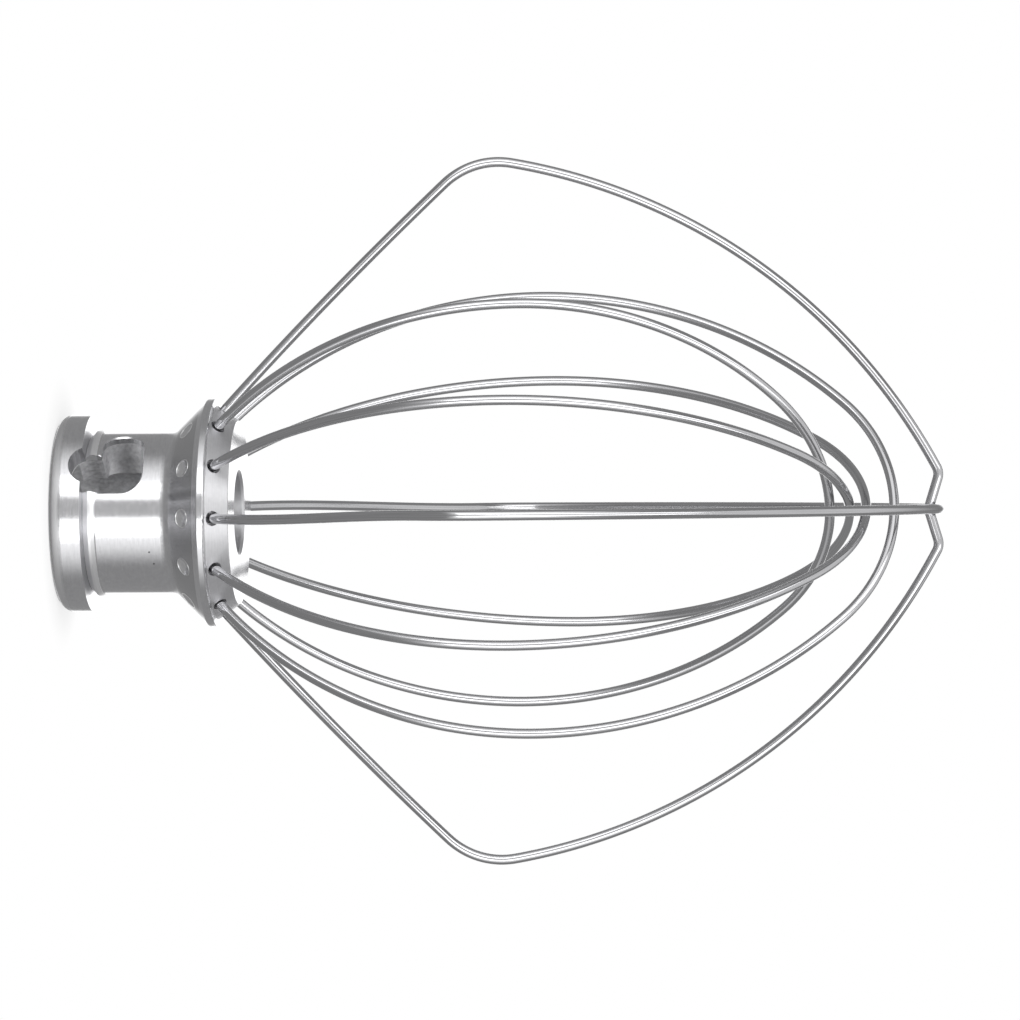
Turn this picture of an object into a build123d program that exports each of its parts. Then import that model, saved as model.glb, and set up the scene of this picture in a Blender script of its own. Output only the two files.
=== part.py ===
"""Stand-mixer whisk: a turned aluminium hub that carries six bent stainless wires.

The hub stands on its flat end at z = 0, and the wires rise from it along +Z.
Sizes are in millimetres, and the origin is the centre of the hub's flat end.
"""

import os
from math import acos, atan2, cos, degrees, hypot, radians, sin, sqrt, tan

from build123d import *

# Whole whisk
whisk_height = 174.1
wire_diameter = 2.0
wire_lean = 47.6  # degrees between a wire and the axis where it leaves the hub

# Hub, from the flat end upwards
bore_diameter = 16.0
bore_chamfer = 0.5
collar_diameter = 38.9
collar_height = 6.25
collar_base_round = 2.5
groove_diameter = 30.4
bead_diameter = 32.7
bead_rise = 1.15
bead_land = 0.5
bead_fall = 0.9
neck_diameter = 31.75
neck_top_height = 22.8
neck_corner_round = 3.0
back_cone_angle = 45.0  # degrees from the axis
lip_diameter = 45.2
lip_land = 1.5
lip_round = 0.4
front_cone_diameter = 42.2
front_cone_height = 4.2
front_face_diameter = 36.2
front_face_round = 0.3

# Bayonet slot for the drive shaft's cross pin
slot_angle = -120.5  # degrees from +X, seen from above
slot_turn = 25.0  # degrees from the way in to the pin's seat
slot_width = 8.2
slot_collar_bite = 2.5
slot_top_height = 17.7
slot_edge_break = 0.3
keyway_width = 6.0
keyway_reach = 14.0

# Wire seats, drilled into the front cone and staked through the back cone
seat_turn = 2.6  # degrees that the ring of seats is turned against the outer loops
seat_clearance = 0.05
seat_depth = 9.5
seat_rise = 1.44  # mouth above the lip's land
mouth_diameter = 2.9
mouth_depth = 1.5
stake_diameter = 3.4
stake_depth = 0.6

# Outer wires: diamond loops, one dimpled where the other crosses it
outer_half_width = 68.6
outer_wide_height = 86.8
outer_corner_radius = 15.4
outer_corner_lean = 43.3  # degrees between a leg and the axis where the corner starts
outer_side_radius = 117.6
plain_tip_radius = 12.0
plain_angle = 90.0
dimpled_angle = 0.0
crest_drop = 0.3  # crests of the dimpled loop below the plain loop's tip
crest_offset = 6.8
crest_radius = 3.0
dimple_radius = 3.0
crossing_gap = 0.1

# Inner wires: egg-shaped loops, from the lowest to the highest, each wider on one side
inner_lead = 2.0  # straight stretch outside the hub
inner_1_angle = 30.0
inner_1_front_width = 47.7
inner_1_back_width = 45.8
inner_1_height = 151.6
inner_2_angle = 60.0
inner_2_front_width = 46.8
inner_2_back_width = 50.4
inner_2_height = 155.5
inner_3_angle = 120.0
inner_3_front_width = 46.6
inner_3_back_width = 48.2
inner_3_height = 158.7
inner_4_angle = 150.0
inner_4_front_width = 48.1
inner_4_back_width = 48.0
inner_4_height = 164.2

# Tolerance for choosing an edge by its place
pick_tolerance = 0.01

# Hub profile, worked out from the sizes above
wire_radius = wire_diameter / 2
bore_radius = bore_diameter / 2
collar_radius = collar_diameter / 2
groove_radius = groove_diameter / 2
bead_radius = bead_diameter / 2
neck_radius = neck_diameter / 2
lip_radius = lip_diameter / 2
front_cone_radius = front_cone_diameter / 2
front_face_radius = front_face_diameter / 2
bead_start = collar_height + bead_rise
bead_end = bead_start + bead_land
neck_start = bead_end + bead_fall
lip_start = neck_top_height + (lip_radius - neck_radius) / tan(radians(back_cone_angle))
lip_end = lip_start + lip_land
hub_height = lip_end + front_cone_height

# Slot and seats, worked out from the sizes above
slot_radius = slot_width / 2
slot_start = collar_height - slot_collar_bite
slot_middle = (slot_start + slot_top_height) / 2
pocket_middle = slot_top_height - slot_radius
pocket_angle = slot_angle - slot_turn
cut_reach = collar_radius + slot_width
cone_taper = (front_cone_radius - front_face_radius) / front_cone_height
mouth_out = front_cone_radius - seat_rise * cone_taper
mouth_up = lip_end + seat_rise
lean_out = sin(radians(wire_lean))
lean_up = cos(radians(wire_lean))
seat_floor = (mouth_out - seat_depth * lean_out, mouth_up - seat_depth * lean_up)
stake_out = (neck_radius + lip_radius) / 2
stake_up = (neck_top_height + lip_start) / 2
stake_ball_radius = (stake_diameter**2 / 4 + stake_depth**2) / (2 * stake_depth)

# Loop tips and angles, worked out from the sizes above
plain_tip = whisk_height - wire_radius
dimple_tip = plain_tip - wire_diameter - crossing_gap
inner_wires = {
    "inner_wire_1": (inner_1_angle, inner_1_front_width, inner_1_back_width, inner_1_height),
    "inner_wire_2": (inner_2_angle, inner_2_front_width, inner_2_back_width, inner_2_height),
    "inner_wire_3": (inner_3_angle, inner_3_front_width, inner_3_back_width, inner_3_height),
    "inner_wire_4": (inner_4_angle, inner_4_front_width, inner_4_back_width, inner_4_height),
}
loop_angles = [plain_angle, dimpled_angle] + [sizes[0] for sizes in inner_wires.values()]
seat_angles = [angle + seat_turn + side for angle in loop_angles for side in (0, 180)]


def radial(angle):
    """Unit vector out from the axis, at an angle from +X."""
    return Vector(cos(radians(angle)), sin(radians(angle)), 0)


def upright_plane(angle):
    """Plane through the axis: X is the distance out at that angle, Y is the height."""
    return Plane(origin=(0, 0, 0), x_dir=radial(angle), z_dir=radial(angle - 90))


def facing_plane(angle):
    """Plane through the axis that faces outwards at that angle, with Y along the axis."""
    return Plane(origin=(0, 0, 0), x_dir=radial(angle + 90), z_dir=radial(angle))


def slanted_plane(angle, out, up, facing):
    """Plane at a point of the hub's surface, facing along (out, up) at that angle."""
    across = radial(angle + 90)
    normal = radial(angle) * facing[0] + Vector(0, 0, facing[1])
    return Plane(origin=radial(angle) * out + Vector(0, 0, up), x_dir=across, z_dir=normal)


def ring_edges(part, radius, height):
    """The turned edges of a part at one radius and height."""
    circles = part.edges().filter_by(GeomType.CIRCLE)
    at_height = circles.filter_by(lambda edge: abs(edge.arc_center.Z - height) < pick_tolerance)
    return at_height.filter_by(lambda edge: abs(edge.radius - radius) < pick_tolerance)


def cut_edges(part, radius, low, high, angle):
    """The edges that a cut leaves on a turned wall between two heights, on the side of an angle."""

    def left_by_cut(edge):
        middle = edge @ 0.5
        on_wall = abs(hypot(middle.X, middle.Y) - radius) < pick_tolerance
        between = low + pick_tolerance < middle.Z < high + pick_tolerance
        return on_wall and between and middle.dot(radial(angle)) > 0

    return part.edges().filter_by(left_by_cut)


def turned(out, up, turn):
    """Point or direction (out, up) swung about the axis out of a loop's plane, in that plane's frame."""
    return (out * cos(radians(turn)), up, -out * sin(radians(turn)))


def bearing(start, end):
    """Direction from one point of a loop's plane to another, in degrees."""
    return degrees(atan2(end[1] - start[1], end[0] - start[0]))


def on_circle(centre, radius, angle):
    """Point of a circle at an angle."""
    return (centre[0] + radius * cos(radians(angle)), centre[1] + radius * sin(radians(angle)))


def enclosing_centre(low, low_radius, high, high_radius, radius):
    """Centre of the arc that wraps two smaller circles and bulges away from the axis."""
    low_reach = radius - low_radius
    high_reach = radius - high_radius
    span = hypot(high[0] - low[0], high[1] - low[1])
    along = (low_reach**2 - high_reach**2 + span**2) / (2 * span)
    across = sqrt(low_reach**2 - along**2)
    unit = ((high[0] - low[0]) / span, (high[1] - low[1]) / span)
    return (low[0] + along * unit[0] - across * unit[1], low[1] + along * unit[1] + across * unit[0])


def draw_egg(half_width, height):
    """Half of an inner loop: seat, straight lead, bend to the widest place, oval end."""
    bend_radius = (half_width - mouth_out - inner_lead * lean_out) / (1 - lean_up)
    lead_end = (mouth_out + inner_lead * lean_out, mouth_up + inner_lead * lean_up)
    widest = lead_end[1] + bend_radius * lean_out
    rise = height - widest
    tip_radius = half_width**2 / rise
    flank_radius = rise * (rise + half_width) / (2 * half_width)
    flank_centre = (half_width - flank_radius, widest)
    tip_centre = (0, height - tip_radius)
    shoulder = bearing(flank_centre, tip_centre)
    Line(seat_floor, lead_end)
    CenterArc((half_width - bend_radius, widest), bend_radius, -wire_lean, wire_lean)
    CenterArc(flank_centre, flank_radius, 0, shoulder)
    CenterArc(tip_centre, tip_radius, shoulder, 90 - shoulder)


def draw_diamond_side(turn, end_centre, end_radius):
    """Half of an outer loop from its turned seat to the arc at its end; returns the angle there."""
    mouth = turned(mouth_out, mouth_up, turn)
    corner_centre = (outer_half_width - outer_corner_radius, outer_wide_height)
    leg_end = on_circle(corner_centre, outer_corner_radius, -outer_corner_lean)
    leg_end_facing = (sin(radians(outer_corner_lean)), cos(radians(outer_corner_lean)))
    side_centre = enclosing_centre(
        corner_centre, outer_corner_radius, end_centre, end_radius, outer_side_radius
    )
    corner_end = bearing(side_centre, corner_centre)
    side_end = bearing(side_centre, end_centre)
    Line(turned(*seat_floor, turn), mouth)
    Spline(mouth, leg_end, tangents=(turned(lean_out, lean_up, turn), leg_end_facing))
    CenterArc(corner_centre, outer_corner_radius, -outer_corner_lean, outer_corner_lean + corner_end)
    CenterArc(side_centre, outer_side_radius, corner_end, side_end - corner_end)
    return side_end


def draw_plain_diamond(turn):
    """Half of the outer loop whose round tip passes over the other one."""
    tip_centre = (0, plain_tip - plain_tip_radius)
    side_end = draw_diamond_side(turn, tip_centre, plain_tip_radius)
    CenterArc(tip_centre, plain_tip_radius, side_end, 90 - side_end)


def draw_dimpled_diamond(turn):
    """Half of the outer loop that dips between two crests to pass under the other one."""
    crest_centre = (crest_offset, plain_tip - crest_drop - crest_radius)
    dimple_centre = (0, dimple_tip + dimple_radius)
    side_end = draw_diamond_side(turn, crest_centre, crest_radius)
    span = hypot(crest_centre[0] - dimple_centre[0], crest_centre[1] - dimple_centre[1])
    crest_end = bearing(crest_centre, dimple_centre) - degrees(acos((crest_radius + dimple_radius) / span))
    dimple_start = crest_end + 180
    CenterArc(crest_centre, crest_radius, side_end, crest_end - side_end)
    Line(
        on_circle(crest_centre, crest_radius, crest_end),
        on_circle(dimple_centre, dimple_radius, dimple_start),
    )
    CenterArc(dimple_centre, dimple_radius, dimple_start, 270 - dimple_start)


def bend_wire(angle, draw_front, draw_back):
    """One wire: a round section carried from its front seat over the tip to its back seat.

    The front half is drawn on the back half's side of the axis and mirrored into place.
    """
    with BuildPart() as wire:
        with BuildLine(upright_plane(angle)) as path:
            draw_front()
            mirror(about=facing_plane(angle), mode=Mode.REPLACE)
            draw_back()
        course = path.wire()
        with BuildSketch(Plane(origin=course @ 0, z_dir=course % 0)):
            Circle(wire_radius)
        sweep(path=course)
    return wire.part


os.makedirs("parts", exist_ok=True)

# Hub: one turned piece, with its bayonet slot milled and its wire seats drilled and staked
with BuildPart() as hub:
    with BuildSketch(Plane.XZ):
        with BuildLine():
            Polyline(
                (bore_radius, 0),
                (collar_radius, 0),
                (collar_radius, collar_height),
                (groove_radius, collar_height),
                (bead_radius, bead_start),
                (bead_radius, bead_end),
                (neck_radius, neck_start),
                (neck_radius, neck_top_height),
                (lip_radius, lip_start),
                (lip_radius, lip_end),
                (front_cone_radius, lip_end),
                (front_face_radius, hub_height),
                (bore_radius, hub_height),
                close=True,
            )
        make_face()
    revolve(axis=Axis.Z)
    fillet(ring_edges(hub, collar_radius, 0), collar_base_round)
    fillet(ring_edges(hub, neck_radius, neck_top_height), neck_corner_round)
    fillet(ring_edges(hub, lip_radius, lip_start) + ring_edges(hub, lip_radius, lip_end), lip_round)
    fillet(ring_edges(hub, front_face_radius, hub_height), front_face_round)
    chamfer(ring_edges(hub, bore_radius, 0) + ring_edges(hub, bore_radius, hub_height), bore_chamfer)

    # The way in: an end mill's slot through the wall that bites into the collar
    with BuildSketch(facing_plane(slot_angle)):
        with Locations((0, slot_middle)):
            SlotOverall(slot_top_height - slot_start, slot_width, rotation=90)
    extrude(amount=cut_reach, mode=Mode.SUBTRACT)

    # The pin's seat: the same mill carried round the hub
    with BuildSketch(upright_plane(pocket_angle)):
        with Locations((cut_reach / 2, pocket_middle)):
            Rectangle(cut_reach, slot_width)
    revolve(axis=Axis.Z, revolution_arc=slot_turn, mode=Mode.SUBTRACT)
    with BuildSketch(facing_plane(pocket_angle)):
        with Locations((0, pocket_middle)):
            Circle(slot_radius)
    extrude(amount=cut_reach, mode=Mode.SUBTRACT)

    # The keyway that lets the pin in from the flat end
    with BuildSketch(Plane(origin=(0, 0, 0), x_dir=radial(slot_angle), z_dir=(0, 0, 1))):
        with Locations((keyway_reach / 2, 0)):
            Rectangle(keyway_reach, keyway_width)
    extrude(amount=slot_start + slot_radius, mode=Mode.SUBTRACT)

    # The broken edge round the slot, on the neck
    chamfer(cut_edges(hub, neck_radius, neck_start, slot_top_height, slot_angle), slot_edge_break)

    # A flat-bottomed seat for each wire end, with a wider mouth
    for seat_angle in seat_angles:
        with Locations(slanted_plane(seat_angle, mouth_out, mouth_up, (lean_out, lean_up))):
            CounterBoreHole(wire_radius + seat_clearance, mouth_diameter / 2, mouth_depth, seat_depth)

    # A ball punch's mark over each seat, which grips the wire
    for seat_angle in seat_angles:
        cone_normal = (cos(radians(back_cone_angle)), -sin(radians(back_cone_angle)))
        with Locations(slanted_plane(seat_angle, stake_out, stake_up, cone_normal)):
            with Locations((0, 0, stake_ball_radius - stake_depth)):
                Sphere(stake_ball_radius, mode=Mode.SUBTRACT)
hub.part.label = "hub"
export_step(hub.part, "parts/hub.step")

# Outer wires: two diamond loops that cross at the tip
plain_wire = bend_wire(
    plain_angle,
    lambda: draw_plain_diamond(-seat_turn),
    lambda: draw_plain_diamond(seat_turn),
)
plain_wire.label = "outer_wire_plain"
export_step(plain_wire, "parts/outer_wire_plain.step")
dimpled_wire = bend_wire(
    dimpled_angle,
    lambda: draw_dimpled_diamond(-seat_turn),
    lambda: draw_dimpled_diamond(seat_turn),
)
dimpled_wire.label = "outer_wire_dimpled"
export_step(dimpled_wire, "parts/outer_wire_dimpled.step")

# Inner wires: four egg-shaped loops, each higher than the one before
for name, (angle, front_width, back_width, height) in inner_wires.items():
    inner_wire = bend_wire(
        angle + seat_turn,
        lambda: draw_egg(front_width, height),
        lambda: draw_egg(back_width, height),
    )
    inner_wire.label = name
    export_step(inner_wire, f"parts/{name}.step")
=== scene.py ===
from math import acos, atan2, cos, degrees, hypot, pi, radians, sin, sqrt, tau

import bpy
import numpy as np
from mathutils import Matrix, Vector


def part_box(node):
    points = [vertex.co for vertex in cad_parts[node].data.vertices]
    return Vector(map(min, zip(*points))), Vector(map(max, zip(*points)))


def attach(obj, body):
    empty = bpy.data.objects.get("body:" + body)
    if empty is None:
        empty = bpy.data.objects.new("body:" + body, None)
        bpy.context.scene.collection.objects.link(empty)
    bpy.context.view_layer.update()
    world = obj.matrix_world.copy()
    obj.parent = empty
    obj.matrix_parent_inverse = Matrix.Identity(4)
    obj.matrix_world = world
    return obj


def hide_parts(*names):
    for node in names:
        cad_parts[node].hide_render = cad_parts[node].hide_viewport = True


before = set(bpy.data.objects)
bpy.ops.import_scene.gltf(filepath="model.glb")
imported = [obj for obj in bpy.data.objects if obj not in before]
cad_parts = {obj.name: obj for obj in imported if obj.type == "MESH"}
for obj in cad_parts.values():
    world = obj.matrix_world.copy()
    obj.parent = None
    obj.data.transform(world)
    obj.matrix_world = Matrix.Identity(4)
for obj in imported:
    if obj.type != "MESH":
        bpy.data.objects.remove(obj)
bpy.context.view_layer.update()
scene = bpy.context.scene

# Hub
# One piece of aluminium bar, turned on a lathe and burnished. A bayonet slot is milled through its wall,
# and each wire end sits in a drilled seat under a punch mark. The lathe leaves fine rings all round it.
bar_colour = (0.77, 0.77, 0.785, 1.0)
ring_colour = (0.55, 0.55, 0.565, 1.0)
bar_roughness = 0.21
ring_stretch = 0.7
quarter_turn = 0.25
ring_pitch = 0.00022
ring_breaks = 6.0
smear_pitch = 0.0009
smear_share = 1.2
smear_roughness = 0.10
relief_depth = 0.000006

# Painted light: the base's round is painted plain and a little lighter than the ringed bar.
base_round_painted_light = (0.78, 0.78, 0.79, 1.0)
base_roughness = 0.36
base_round = (0.0024, 0.0016)
base_foot = (0.0003, 0.0010)

# Painted light: the groove is painted lighter than the bar, in place of the light it lacks.
groove_painted_light = (0.93, 0.93, 0.94, 1.0)
groove_roughness = 0.22
groove_heights = (0.0063, 0.0086)

# Painted light: the slot's and bore's inside is painted lighter, mottled with darker tool marks.
inside_painted_light = (0.97, 0.97, 0.98, 1.0)
tool_colour = (0.62, 0.62, 0.63, 1.0)
tool_marks = (0.15, 0.85)
inside_roughness = 0.30
inside_out = 0.0145
inside_height = 0.0185

# Two small dark specks painted on the neck.
speck_colour = (0.06, 0.06, 0.06, 1.0)
specks = [(0.0075, -0.01399, 0.0192), (0.0098, -0.01249, 0.0199)]
speck_radius = 0.00018

# Painted shade: the back cone is painted darker than the bar.
back_painted_shade = (0.50, 0.50, 0.51, 1.0)
back_start = (0.0226, 0.0246)
back_end = 0.0285

seat_turn = 2.6
seat_spacing = 30.0
stake_colour = (0.74, 0.74, 0.75, 1.0)
stake_out = 0.0192375
stake_up = 0.0261625
# Painted highlight: each punch mark's raised rim is painted white.
rim_painted_highlight = (1.0, 1.0, 1.0, 1.0)
rim_radius = 0.00178
rim_width = 0.00016
rim_share = 20.0

cone_roughness = 0.24
cone_heights = (0.0311, 0.0351)


class Field:
    """A value that varies over a surface: one socket of a material's node tree.

    Sums, differences, products and powers of fields add Math nodes to that tree.
    """

    def __init__(self, tree, socket=None):
        self.tree = tree
        self.socket = socket

    def feed(self, node, sockets):
        """Sets each named socket of a node to a number or colour, or links a field to it."""
        for key, value in sockets.items():
            if isinstance(value, Field):
                self.tree.links.new(value.socket, node.inputs[key])
            else:
                node.inputs[key].default_value = value

    def node(self, kind, settings, sockets, output=0):
        """Adds a node of a kind, with its settings first and its sockets after; gives one output."""
        made = self.tree.nodes.new(kind)
        for key, setting in settings.items():
            setattr(made, key, setting)
        self.feed(made, sockets)
        return Field(self.tree, made.outputs[output])

    def math(self, operation, first, second=0.0):
        return self.node("ShaderNodeMath", {"operation": operation}, {0: first, 1: second})

    def mix(self, low, high):
        """A colour that goes from low to high as this field goes from 0 to 1."""
        return self.node("ShaderNodeMix", {"data_type": "RGBA"}, {0: self, 6: low, 7: high}, 2)

    def reach(self, place, spot):
        """Distance from a fixed spot to each place."""
        return self.node("ShaderNodeVectorMath", {"operation": "DISTANCE"}, {0: place, 1: spot}, "Value")

    def ramp(self, low, high):
        """0 up to low and 1 from high on, easing between them; it falls where low is above high."""
        return self.node(
            "ShaderNodeMapRange",
            {"interpolation_type": "SMOOTHSTEP"},
            {"Value": self, "From Min": low, "From Max": high},
        )

    def within(self, low, high):
        """1 where this field is between two values, else 0."""
        return self.math("GREATER_THAN", self, low) * self.math("LESS_THAN", self, high)

    def __add__(self, other):
        return self.math("ADD", self, other)

    def __radd__(self, other):
        return self.math("ADD", other, self)

    def __sub__(self, other):
        return self.math("SUBTRACT", self, other)

    def __rsub__(self, other):
        return self.math("SUBTRACT", other, self)

    def __mul__(self, other):
        return self.math("MULTIPLY", self, other)

    def __rmul__(self, other):
        return self.math("MULTIPLY", other, self)

    def __pow__(self, other):
        return self.math("POWER", self, other)


def metal(name, constants):
    """A new bare metal: its material, the start of its node tree and its shader."""
    material = bpy.data.materials.new(name)
    material.use_nodes = True
    start = Field(material.node_tree)
    shader = material.node_tree.nodes["Principled BSDF"]
    start.feed(shader, {"Metallic": 1.0} | constants)
    return material, start, shader


def punch_marks(start, out, turn, z):
    """1 in each punch mark and 1 on its rim, else 0.

    The bearing is folded to one seat's share of the circle, so one distance serves all the marks.
    """
    share = radians(seat_spacing)
    aside = start.math("FLOORED_MODULO", turn - radians(seat_turn) + share / 2, share) - share / 2
    folded_x = out * start.math("COSINE", aside)
    folded_y = out * start.math("SINE", aside)
    folded = start.node("ShaderNodeCombineXYZ", {}, {0: folded_x, 1: folded_y, 2: z})
    reach = start.reach(folded, (stake_out, 0.0, stake_up))
    stake = reach.ramp(rim_radius + rim_width, rim_radius)
    return stake, stake * reach.ramp(rim_radius - rim_width, rim_radius)


def turned_aluminium():
    """Aluminium off the lathe: rings in height and distance from the axis, broken up along their length.

    The base's round, the groove, the slot's inside and the front cone are rougher than the rest. The round,
    the groove and the inside are painted lighter as painted light, and the back cone is painted darker as
    painted shade, except inside the punch marks. Two small dark specks are painted on the neck, and each
    punch mark has a thin raised rim, painted white as a painted highlight.
    """
    material, start, shader = metal(
        "turned_aluminium", {"Anisotropic": ring_stretch, "Anisotropic Rotation": quarter_turn}
    )
    place = start.node("ShaderNodeTexCoord", {}, {}, "Object")
    x, y, z = (start.node("ShaderNodeSeparateXYZ", {}, {0: place}, axis) for axis in "XYZ")
    out = (x * x + y * y) ** 0.5
    turn = start.math("ARCTAN2", y, x)
    finer = 1 / ring_pitch
    ring_place = start.node("ShaderNodeCombineXYZ", {}, {0: out * finer, 1: turn * ring_breaks, 2: z * finer})
    rings = start.node("ShaderNodeTexNoise", {}, {"Vector": ring_place, "Scale": 1.0, "Detail": 2.0})
    smears = start.node("ShaderNodeTexNoise", {}, {"Vector": place, "Scale": 1 / smear_pitch, "Detail": 3.0})

    # The base's round, which gets its painted light.
    base = z.ramp(*base_round) * z.ramp(*base_foot)
    # The groove, which gets its painted light.
    groove = z.within(*groove_heights)
    inside = start.math("LESS_THAN", out, inside_out) * start.math("LESS_THAN", z, inside_height)
    # Two small dark specks painted on the neck.
    nearest_speck = start.math("MINIMUM", *(start.reach(place, spot) for spot in specks))
    speck = start.math("LESS_THAN", nearest_speck, speck_radius)
    # The back cone, which gets its painted shade.
    back_shade_zone = z.ramp(*back_start) * start.math("LESS_THAN", z, back_end)
    stake, rim = punch_marks(start, out, turn, z)
    front_cone = z.within(*cone_heights)

    colour = (rings * 0.5 + smears * 0.5).mix(ring_colour, bar_colour)
    # Painted shade on the back cone; inside each punch mark the tone stays near the bar's.
    colour = stake.mix(back_shade_zone.mix(colour, back_painted_shade), stake_colour)
    # Painted highlight on each punch mark's rim, and painted light in the groove.
    colour = groove.mix(rim.mix(colour, rim_painted_highlight), groove_painted_light)
    # Painted light inside the slot and bore, mottled with real tool marks.
    tool_marks_and_painted_light = smears.ramp(*tool_marks).mix(tool_colour, inside_painted_light)
    colour = inside.mix(base.mix(colour, base_round_painted_light), tool_marks_and_painted_light)
    roughness = bar_roughness + smear_roughness * (smears - 0.5) + groove_roughness * groove
    roughness = roughness + base_roughness * base + cone_roughness * front_cone + inside_roughness * inside
    height = rings + smears * smear_share + rim * rim_share
    relief = start.node("ShaderNodeBump", {}, {"Strength": 1.0, "Distance": relief_depth, "Height": height})
    start.feed(shader, {"Base Color": speck.mix(colour, speck_colour), "Roughness": roughness, "Normal": relief})
    return material


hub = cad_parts["hub"]
hub.material_slots[0].material = turned_aluminium()

# Outer wires
# Two stainless wires bent into diamond loops that cross at the tip; one is dimpled there to pass under
# the other. The wire is drawn through a die and polished, which leaves faint lines along it.
wire_radius = 0.000999  # a micrometre under size, inside the CAD box
wire_lean = 47.6
seat_depth = 0.0095
mouth_out = 0.0200714
mouth_up = 0.032465
outer_half_width = 0.0686
outer_wide_height = 0.0868
outer_corner_radius = 0.0154
outer_corner_lean = 43.3
outer_side_radius = 0.1176
plain_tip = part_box("outer_wire_plain")[1].z - wire_radius
plain_tip_radius = 0.012
plain_angle = 90.0
dimpled_angle = 0.0
crest_drop = 0.0003
crest_offset = 0.0068
crest_radius = 0.003
dimple_radius = 0.003
crossing_gap = 0.0001
dimple_tip = plain_tip - 2 * wire_radius - crossing_gap
path_step = 0.0006
path_turn = 3.0
wire_sides = 28
steel_colour = (0.70, 0.70, 0.715, 1.0)
line_colour = (0.36, 0.36, 0.37, 1.0)
steel_roughness = 0.14
line_roughness = 0.06
lines_around = 24.0
lines_along = 0.25
line_depth = 0.0000004
lean_out = sin(radians(wire_lean))
lean_up = cos(radians(wire_lean))


def run(start, end):
    """Points of a straight stretch from one place to another, without the last one."""
    start, end = np.array(start), np.array(end)
    count = max(int(np.linalg.norm(end - start) / path_step), 2)
    return start + np.linspace(0, 1, count, endpoint=False)[:, None] * (end - start)


def arc(centre, radius, start, end):
    """Points of a circle in a loop's plane from one angle to another, in degrees, without the last one."""
    count = max(int(radians(abs(end - start)) * radius / path_step), int(abs(end - start) / path_turn), 2)
    angle = np.radians(np.linspace(start, end, count, endpoint=False))
    out = centre[0] + radius * np.cos(angle)
    up = centre[1] + radius * np.sin(angle)
    return np.stack([out, up, np.zeros(count)], axis=1)


def easy_curve(start, start_facing, end, end_facing):
    """A cubic between two places that leaves and arrives along two directions, without its last point."""
    start, start_facing, end, end_facing = map(np.array, (start, start_facing, end, end_facing))
    length = np.linalg.norm(end - start)
    share = np.linspace(0, 1, int(length / path_step), endpoint=False)[:, None]
    start_weight = (1 + 2 * share) * (1 - share) ** 2
    leave = share * (1 - share) ** 2
    arrive = share**2 * (share - 1)
    between = start_weight * start + (1 - start_weight) * end
    return between + length * (leave * start_facing + arrive * end_facing)


def turned(out, up, turn):
    """A place or direction (out, up) swung about the axis out of a loop's plane: out, up and aside."""
    return (out * cos(radians(turn)), up, -out * sin(radians(turn)))


def bearing(start, end):
    """Direction from one place to another, in degrees."""
    return degrees(atan2(end[1] - start[1], end[0] - start[0]))


def wrapping_centre(low, low_radius, high, high_radius, radius):
    """Centre of the large arc that touches two smaller circles from outside, bulging away from the axis."""
    low_reach = radius - low_radius
    high_reach = radius - high_radius
    span = hypot(high[0] - low[0], high[1] - low[1])
    along = (low_reach**2 - high_reach**2 + span**2) / (2 * span)
    across = sqrt(low_reach**2 - along**2)
    unit = ((high[0] - low[0]) / span, (high[1] - low[1]) / span)
    return (low[0] + along * unit[0] - across * unit[1], low[1] + along * unit[1] + across * unit[0])


def diamond_side(turn, end_centre, end_radius):
    """A diamond loop from its turned seat to its tip's arc: a long leg, a corner and one large arc."""
    corner = (outer_half_width - outer_corner_radius, outer_wide_height)
    side = wrapping_centre(corner, outer_corner_radius, end_centre, end_radius, outer_side_radius)
    corner_end = bearing(side, corner)
    side_end = bearing(side, end_centre)
    floor = turned(mouth_out - seat_depth * lean_out, mouth_up - seat_depth * lean_up, turn)
    mouth = turned(mouth_out, mouth_up, turn)
    corner_arc = arc(corner, outer_corner_radius, -outer_corner_lean, corner_end)
    corner_facing = turned(sin(radians(outer_corner_lean)), cos(radians(outer_corner_lean)), 0)
    points = [
        run(floor, mouth),
        easy_curve(mouth, turned(lean_out, lean_up, turn), corner_arc[0], corner_facing),
        corner_arc,
        arc(side, outer_side_radius, corner_end, side_end),
    ]
    return points, side_end


def plain_diamond(turn):
    """Half of the plain diamond loop, which ends in a round tip on the axis."""
    tip = (0, plain_tip - plain_tip_radius)
    points, side_end = diamond_side(turn, tip, plain_tip_radius)
    return np.concatenate(points + [arc(tip, plain_tip_radius, side_end, 90), [(0, plain_tip, 0)]])


def dimpled_diamond(turn):
    """Half of the dimpled diamond loop: its side ends in a crest, and a short run dips to the axis."""
    crest = (crest_offset, plain_tip - crest_drop - crest_radius)
    dimple = (0, dimple_tip + dimple_radius)
    points, side_end = diamond_side(turn, crest, crest_radius)
    span = hypot(crest[0] - dimple[0], crest[1] - dimple[1])
    crest_end = bearing(crest, dimple) - degrees(acos((crest_radius + dimple_radius) / span))
    crest_arc = arc(crest, crest_radius, side_end, crest_end)
    dimple_arc = arc(dimple, dimple_radius, crest_end + 180, 270)
    crest_leave = arc(crest, crest_radius, crest_end, crest_end)[0]
    dip = run(crest_leave, dimple_arc[0])
    return np.concatenate(points + [crest_arc, dip, dimple_arc, [(0, dimple_tip, 0)]])


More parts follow.
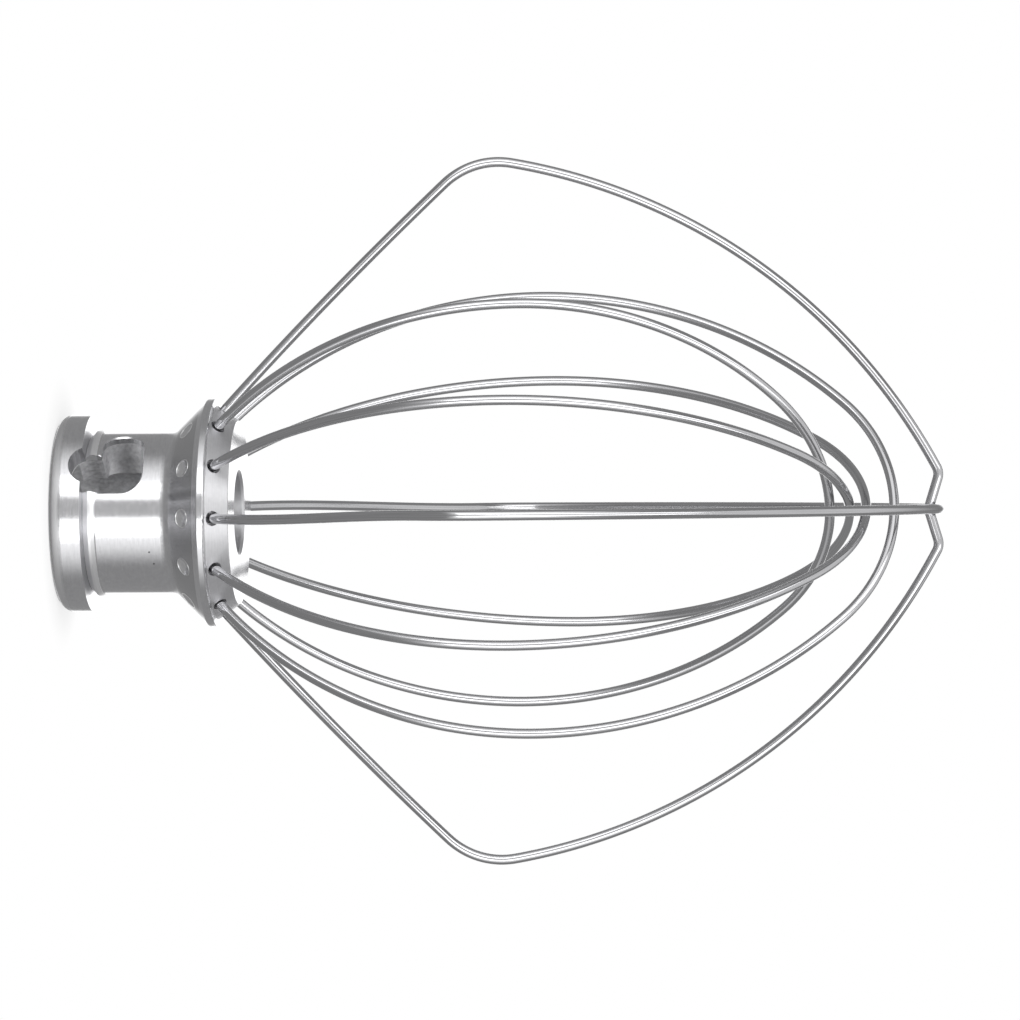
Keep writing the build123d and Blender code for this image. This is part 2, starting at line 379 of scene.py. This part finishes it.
def bend_wire(name, angle, front, back):
    """A round wire: a circle of the wire's radius carried along the front half and back down the other.

    Each ring stands square to the path, spanned by the direction square to the path in the loop's plane
    and by their cross product. The path is turned about the axis to its angle, and a fan closes each end.
    """
    path = np.concatenate([front * [-1, 1, 1], back[-2::-1]])
    outward = np.array([cos(radians(angle)), sin(radians(angle)), 0.0])
    upward = np.array([0.0, 0.0, 1.0])
    aside = np.cross(outward, upward)
    centre = path @ np.stack([outward, upward, aside])
    along = np.gradient(centre, axis=0)
    along /= np.linalg.norm(along, axis=1, keepdims=True)
    side = np.cross(aside, along)
    side /= np.linalg.norm(side, axis=1, keepdims=True)
    other = np.cross(along, side)
    round_angle = np.linspace(0, tau, wire_sides, endpoint=False)
    swing = np.cos(round_angle)[:, None] * side[:, None] + np.sin(round_angle)[:, None] * other[:, None]
    rings = centre[:, None] + wire_radius * swing
    count = len(path)
    vertices = np.concatenate([rings.reshape(-1, 3), centre[[0, -1]]])

    step, turn = np.meshgrid(np.arange(count - 1), np.arange(wire_sides), indexing="ij")
    corner_step = np.stack([step, step, step + 1, step + 1], axis=-1).reshape(-1, 4)
    corner_turn = np.stack([turn, turn + 1, turn + 1, turn], axis=-1).reshape(-1, 4)
    walls = corner_step * wire_sides + corner_turn % wire_sides
    edge = np.arange(wire_sides)
    following = (edge + 1) % wire_sides
    first_centre = np.full(wire_sides, count * wire_sides)
    last_ring = (count - 1) * wire_sides
    first_end = np.stack([first_centre, following, edge], axis=1)
    last_end = np.stack([first_centre + 1, last_ring + edge, last_ring + following], axis=1)
    mesh = bpy.data.meshes.new(name)
    mesh.from_pydata(vertices, [], [*walls, *first_end, *last_end])

    length = np.concatenate([[0], np.cumsum(np.linalg.norm(np.diff(path, axis=0), axis=1))])
    around = corner_turn / wire_sides
    distance = length[corner_step] / (tau * wire_radius)
    wall_uv = np.stack([around, distance], axis=-1).reshape(-1, 2)
    end_uv = np.zeros((2 * wire_sides * 3, 2))
    layer = mesh.uv_layers.new(name="drawn")
    layer.data.foreach_set("uv", np.concatenate([wall_uv, end_uv]).ravel())
    smooth = np.arange(len(mesh.polygons)) < len(walls)
    mesh.polygons.foreach_set("use_smooth", smooth)
    wire = bpy.data.objects.new(name + "_drawn", mesh)
    scene.collection.objects.link(wire)
    mesh.materials.append(stainless)
    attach(wire, "root")
    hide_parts(name)
    return wire


def drawn_stainless():
    """Polished drawn wire: faint lines along it, finer than they are long, in colour, gloss and relief."""
    material, start, shader = metal("drawn_stainless", {})
    drawn = start.node("ShaderNodeUVMap", {"uv_map": "drawn"}, {})
    around, along = (start.node("ShaderNodeSeparateXYZ", {}, {0: drawn}, axis) for axis in "XY")
    turn = around * tau
    line_place = start.node(
        "ShaderNodeCombineXYZ",
        {},
        {
            0: start.math("COSINE", turn) * (lines_around / tau),
            1: start.math("SINE", turn) * (lines_around / tau),
            2: along * lines_along,
        },
    )
    lines = start.node("ShaderNodeTexNoise", {}, {"Vector": line_place, "Scale": 1.0, "Detail": 3.0})
    relief = start.node("ShaderNodeBump", {}, {"Strength": 1.0, "Distance": line_depth, "Height": lines})
    start.feed(
        shader,
        {
            "Base Color": lines.mix(line_colour, steel_colour),
            "Roughness": steel_roughness + line_roughness * (lines - 0.5),
            "Normal": relief,
        },
    )
    return material


stainless = drawn_stainless()
bend_wire("outer_wire_plain", plain_angle, plain_diamond(-seat_turn), plain_diamond(seat_turn))
bend_wire("outer_wire_dimpled", dimpled_angle, dimpled_diamond(-seat_turn), dimpled_diamond(seat_turn))

# Inner wires
# Four loops of the same wire, bent to an egg shape by hand, so each is a little wider on one side. They
# nest inside the outer loops, each higher than the one before, and sit in the hub's other seats.
inner_lead = 0.0020
inner_loops = {
    "inner_wire_1": {"angle": 30.0, "front": 0.0477, "back": 0.0458, "tip": 0.1516},
    "inner_wire_2": {"angle": 60.0, "front": 0.0468, "back": 0.0504, "tip": 0.1555},
    "inner_wire_3": {"angle": 120.0, "front": 0.0466, "back": 0.0482, "tip": 0.1587},
    "inner_wire_4": {"angle": 150.0, "front": 0.0481, "back": 0.0480, "tip": 0.1642},
}


def egg(half_width, tip):
    """Half of an egg loop: a straight lead, a bend out to the widest place, a flank and a round end.

    The flank and the end are two arcs that meet smoothly: the end's radius is the half width squared
    over the rise from the widest place to the tip.
    """
    floor = turned(mouth_out - seat_depth * lean_out, mouth_up - seat_depth * lean_up, 0)
    lead_end = turned(mouth_out + inner_lead * lean_out, mouth_up + inner_lead * lean_up, 0)
    bend = (half_width - lead_end[0]) / (1 - lean_up)
    widest = lead_end[1] + bend * lean_out
    rise = tip - widest
    end_radius = half_width**2 / rise
    flank = rise * (rise + half_width) / (2 * half_width)
    flank_centre = (half_width - flank, widest)
    end_centre = (0, tip - end_radius)
    shoulder = bearing(flank_centre, end_centre)
    return np.concatenate(
        [
            run(floor, lead_end),
            arc((half_width - bend, widest), bend, -wire_lean, 0),
            arc(flank_centre, flank, 0, shoulder),
            arc(end_centre, end_radius, shoulder, 90),
            [(0, tip, 0)],
        ]
    )


for name, loop in inner_loops.items():
    front, back = (egg(loop[half], loop["tip"]) for half in ("front", "back"))
    bend_wire(name, loop["angle"] + seat_turn, front, back)

# Plate
# A small round plate of matt white board that the whisk stands on. It keeps a faint shade under the hub,
# and fades to the plain white of the room towards its rim. The metal mirrors the tent and not the plate.
plate_radius = 0.030
plate_thickness = 0.001
plate_colour = (0.9, 0.9, 0.9, 1.0)
plate_white = (1.0, 1.0, 1.0, 1.0)
fade_start = 0.019
fade_end = 0.028
shade_share = 0.28
under_radius = 0.0178
plate_rings = 24
axis_gap = 0.0001
round_sides = 96


def round_sheet(name, profile, sides, material):
    """A profile of (out, up) places turned about the axis, as an open sheet that faces the axis side."""
    turn = np.linspace(0, tau, sides, endpoint=False)
    out, up = np.array(profile).T
    places = np.stack(
        [
            out[:, None] * np.cos(turn),
            out[:, None] * np.sin(turn),
            np.broadcast_to(up[:, None], (len(out), sides)),
        ],
        axis=-1,
    )
    step, slot = np.meshgrid(np.arange(len(out) - 1), np.arange(sides), indexing="ij")
    following = (slot + 1) % sides
    near, far = step * sides, (step + 1) * sides
    faces = np.stack([near + slot, far + slot, far + following, near + following], axis=-1)
    mesh = bpy.data.meshes.new(name)
    mesh.from_pydata(places.reshape(-1, 3), [], faces.reshape(-1, 4))
    mesh.materials.append(material)
    sheet = bpy.data.objects.new(name, mesh)
    scene.collection.objects.link(sheet)
    return sheet


def seen_rays(start):
    """1 for rays from the camera and for those that metal or glass sends on, else 0."""
    camera, glossy, through = (
        start.node("ShaderNodeLightPath", {}, {}, kind)
        for kind in ("Is Camera Ray", "Is Glossy Ray", "Is Transmission Ray")
    )
    return start.math("MAXIMUM", camera, start.math("MAXIMUM", glossy, through))


def stage_material(name):
    """A new material for the stage: itself, the start of its node tree and its output node."""
    material = bpy.data.materials.new(name)
    material.use_nodes = True
    return material, Field(material.node_tree), material.node_tree.nodes["Material Output"]


def pale_board():
    """Matt white that shows the light on it under the hub, a little beside the hub and none at the rim."""
    material, start, output = stage_material("pale_board")
    place = start.node("ShaderNodeTexCoord", {}, {}, "Object")
    reach = start.reach(place, (0.0, 0.0, 0.0))
    fade = reach.ramp(fade_start, fade_end)
    beside = start.math("GREATER_THAN", reach, under_radius)
    matt = start.node("ShaderNodeBsdfDiffuse", {}, {"Color": plate_colour})
    white = start.node("ShaderNodeEmission", {}, {"Color": plate_white, "Strength": 1.0})
    plain_share = beside * (1 - shade_share * (1 - fade)) * seen_rays(start)
    mixed = start.node("ShaderNodeMixShader", {}, {0: plain_share, 1: matt, 2: white})
    start.feed(output, {"Surface": mixed})
    return material


plate_top = np.stack([np.linspace(axis_gap, plate_radius, plate_rings), np.zeros(plate_rings)], axis=1)
plate_profile = np.concatenate([plate_top, [(plate_radius, -plate_thickness), (axis_gap, -plate_thickness)]])
plate = round_sheet("plate", plate_profile, round_sides, pale_board())
plate.visible_glossy = False

# Tent
# A grey cloth tent round the set, out of the camera's sight. Polished metal mirrors it, which gives the
# wires their dark edges. It glows beside the lamps, above the camera and at the back.
tent_radius = 1.3
tent_height = 1.9
tent_depth = 1.7
cloth_tone = 0.33
side_tone = 1.45
right_glow = (84.0, 30.0)
left_glow = (-98.0, -42.0)
high_glow = (1.0, 0.6)
low_glow = (-0.75, -0.25)
gap_tone = 0.62
front_tone = 0.90
front_bearings = (-31.0, 18.0)
front_rise = (0.15, 0.6)
front_fade = (-0.9, -0.3)
back_tone = 1.6
back_glow = (154.0, 170.0)
roof_glow = (1.5, 0.3)
roof_edge = 0.01


def grey_cloth():
    """Grey cloth whose walls glow by their bearing from the camera, and its roof towards the front."""
    material, start, output = stage_material("grey_cloth")
    place = start.node("ShaderNodeTexCoord", {}, {}, "Object")
    x, y, z = (start.node("ShaderNodeSeparateXYZ", {}, {0: place}, axis) for axis in "XYZ")
    turn = start.math("ARCTAN2", x, 0 - y) * (360 / tau)
    right_side = start.math("GREATER_THAN", turn, front_bearings[1]) * turn.ramp(*right_glow)
    left_side = start.math("LESS_THAN", turn, front_bearings[0]) * turn.ramp(*left_glow)
    behind = start.math("ABSOLUTE", turn).ramp(*back_glow)
    front_light = gap_tone - cloth_tone + z.ramp(*front_rise) * (front_tone - gap_tone)
    front = turn.within(*front_bearings) * front_light * z.ramp(*front_fade)
    level = z.ramp(*high_glow) * z.ramp(*low_glow)
    sides = (right_side + left_side) * (side_tone - cloth_tone) + behind * (back_tone - cloth_tone)
    roof = start.math("GREATER_THAN", z, tent_height - roof_edge)
    overhead = y.ramp(*roof_glow) * (front_tone - cloth_tone)
    tone = cloth_tone + roof * overhead + (1 - roof) * (sides * level + front)
    colour = start.node("ShaderNodeCombineColor", {}, {0: tone, 1: tone, 2: tone})
    start.feed(output, {"Surface": start.node("ShaderNodeEmission", {}, {"Color": colour, "Strength": 1.0})})
    return material


tent_profile = [
    (axis_gap, -tent_depth),
    (tent_radius, -tent_depth),
    (tent_radius, tent_height),
    (axis_gap, tent_height),
]
tent = round_sheet("tent", tent_profile, round_sides, grey_cloth())
tent.visible_camera = False
tent.visible_diffuse = False
tent.visible_shadow = False

# Room and lamps
# A white room, and two tall softboxes either side of the camera with a grey gap between them.
room_white = (1.0, 1.0, 1.0, 1.0)
room_light = (0.8, 0.8, 0.8, 1.0)
lamp_distance = 0.95
lamp_height = 1.85
lamp_middle = 0.675
lamp_radiance = 1.8
lamps = {"left": (-44.0, -19.5), "right": (5.0, 32.0)}

world = bpy.data.worlds.new("white_room")
world.use_nodes = True
scene.world = world
room = Field(world.node_tree)
room_colour = seen_rays(room).mix(room_light, room_white)
room.feed(world.node_tree.nodes["Background"], {"Color": room_colour, "Strength": 1.0})

for side, (first, last) in lamps.items():
    middle = radians((first + last) / 2)
    width = 2 * lamp_distance * sin(radians(last - first) / 2)
    softbox = bpy.data.lights.new("softbox_" + side, "AREA")
    softbox.shape = "RECTANGLE"
    softbox.size = width
    softbox.size_y = lamp_height
    softbox.energy = lamp_radiance * pi * width * lamp_height
    lamp = bpy.data.objects.new("softbox_" + side, softbox)
    toward = Vector((sin(middle), -cos(middle), 0))
    lamp.location = lamp_distance * toward + Vector((0, 0, lamp_middle))
    lamp.rotation_euler = toward.to_track_quat("Z", "Y").to_euler()
    lamp.visible_camera = False
    scene.collection.objects.link(lamp)

# Camera
# A long lens a little above the whisk's middle, turned on its side so that the tip points to the right.
view_azimuth = radians(-0.65)
view_elevation = radians(4.55)
view_roll = radians(-0.31)
view_distance = 1.1403
view_aim = Vector((-0.0002, 0, 0.0888))
lens_length = 204.7
sensor_width = 36.0

back = Vector(
    (
        sin(view_azimuth) * cos(view_elevation),
        -cos(view_azimuth) * cos(view_elevation),
        sin(view_elevation),
    )
)
right = Vector((cos(view_azimuth), sin(view_azimuth), 0))
up = back.cross(right)
picture_right = up * cos(view_roll) - right * sin(view_roll)
picture_up = back.cross(picture_right)
lens = bpy.data.cameras.new("long_lens")
lens.lens = lens_length
lens.sensor_width = sensor_width
camera = bpy.data.objects.new("long_lens", lens)
facing = Matrix((picture_right, picture_up, back)).transposed().to_4x4()
camera.matrix_world = Matrix.Translation(view_aim + back * view_distance) @ facing
scene.collection.objects.link(camera)
scene.camera = camera
scene.view_settings.view_transform = "Standard"
